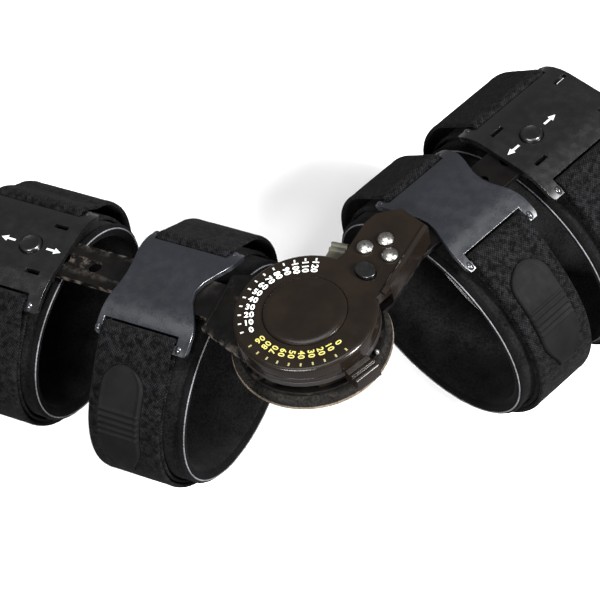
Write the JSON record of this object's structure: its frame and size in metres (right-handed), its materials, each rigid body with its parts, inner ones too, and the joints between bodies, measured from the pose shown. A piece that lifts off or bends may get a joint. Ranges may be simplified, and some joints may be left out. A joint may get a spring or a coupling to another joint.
{
  "type": "elbow brace",
  "caption": "One-sided elbow brace with a dial hinge, flat bars, sliding plastic cuffs and fabric straps round the arm.",
  "frame": {"origin": "on the hinge axis, at the face of the hinge pad that touches the elbow", "axes": "+Z along the hinge axis out of the dial, -X along the forearm, the upper arm's bar at 68.6 degrees from +X"},
  "size_m": [0.2963, 0.244, 0.1307],
  "materials": {
    "gloss_black": "gloss, very dark brown black",
    "bar_paint": "satin, very dark brown black",
    "cuff_plastic": "satin, dark bluish grey",
    "outer_plastic": "satin black",
    "bright_steel": "polished",
    "webbing": "looped black strap",
    "pad_fabric": "black brushed lining",
    "tab_rubber": "moulded, matt",
    "grip_olive": "grey olive"
  },
  "bodies": {
    "upper_arm": {"hinge_pad": "pad_fabric", "pivot_pin": "bright_steel", "hinge_wall": "gloss_black", "centre_cap": "gloss_black", "hinge_stud": "bright_steel", "base_plate": "bar_paint", "keyhole_cover": "gloss_black", "upper_bar": "bar_paint", "rivet_1": "bright_steel", "rivet_2": "bright_steel", "rivet_3": "bright_steel", "upper_inner_cuff": "cuff_plastic", "upper_inner_pad": "pad_fabric", "upper_inner_strap": "webbing", "upper_inner_tab": "tab_rubber"},
    "forearm": {"forearm_bar": "bar_paint", "forearm_inner_cuff": "cuff_plastic", "forearm_inner_pad": "pad_fabric", "forearm_inner_strap": "webbing", "forearm_inner_tab": "tab_rubber"},
    "forearm_outer_set": {"forearm_outer_cuff": "outer_plastic", "forearm_outer_pad": "pad_fabric", "forearm_outer_strap": "webbing", "forearm_outer_tab": "tab_rubber"},
    "upper_outer_set": {"upper_outer_cuff": "outer_plastic", "upper_outer_pad": "pad_fabric", "upper_outer_strap": "webbing", "upper_outer_tab": "tab_rubber"},
    "forearm_button": {"forearm_button": "outer_plastic"},
    "upper_button": {"upper_button": "outer_plastic"},
    "lock_button": {"lock_button": "outer_plastic"},
    "extension_stop": {"extension_stop": "grip_olive"},
    "flexion_stop": {"flexion_stop": "gloss_black"}
  },
  "joints": [
    {"name": "elbow", "type": "hinge", "parent": "upper_arm", "child": "forearm", "pos_m": [0, 0, 0], "axis": [0, 0, -1], "range_deg": [-68.6, 21.4]},
    {"name": "extension_stop_turn", "type": "hinge", "parent": "upper_arm", "child": "extension_stop", "pos_m": [0, 0, 0], "axis": [0, 0, 1], "range_deg": [0, 125]},
    {"name": "flexion_stop_turn", "type": "hinge", "parent": "upper_arm", "child": "flexion_stop", "pos_m": [0, 0, 0], "axis": [0, 0, 1], "range_deg": [-82, 13]},
    {"name": "lock_press", "type": "slide", "parent": "upper_arm", "child": "lock_button", "axis": [0, 0, -1], "range_m": [0, 0.0012], "stiffness_N_per_m": 300},
    {"name": "forearm_slide", "type": "slide", "parent": "forearm", "child": "forearm_outer_set", "axis": [-1, 0, 0], "range_m": [-0.016, 0.032]},
    {"name": "upper_slide", "type": "slide", "parent": "upper_arm", "child": "upper_outer_set", "axis": [0.3649, 0.9311, 0], "range_m": [0, 0.032]},
    {"name": "forearm_press", "type": "slide", "parent": "forearm_outer_set", "child": "forearm_button", "axis": [0, 0, -1], "range_m": [0, 0.0015], "stiffness_N_per_m": 300},
    {"name": "upper_press", "type": "slide", "parent": "upper_outer_set", "child": "upper_button", "axis": [0, 0, -1], "range_m": [0, 0.0015], "stiffness_N_per_m": 300}
  ]
}
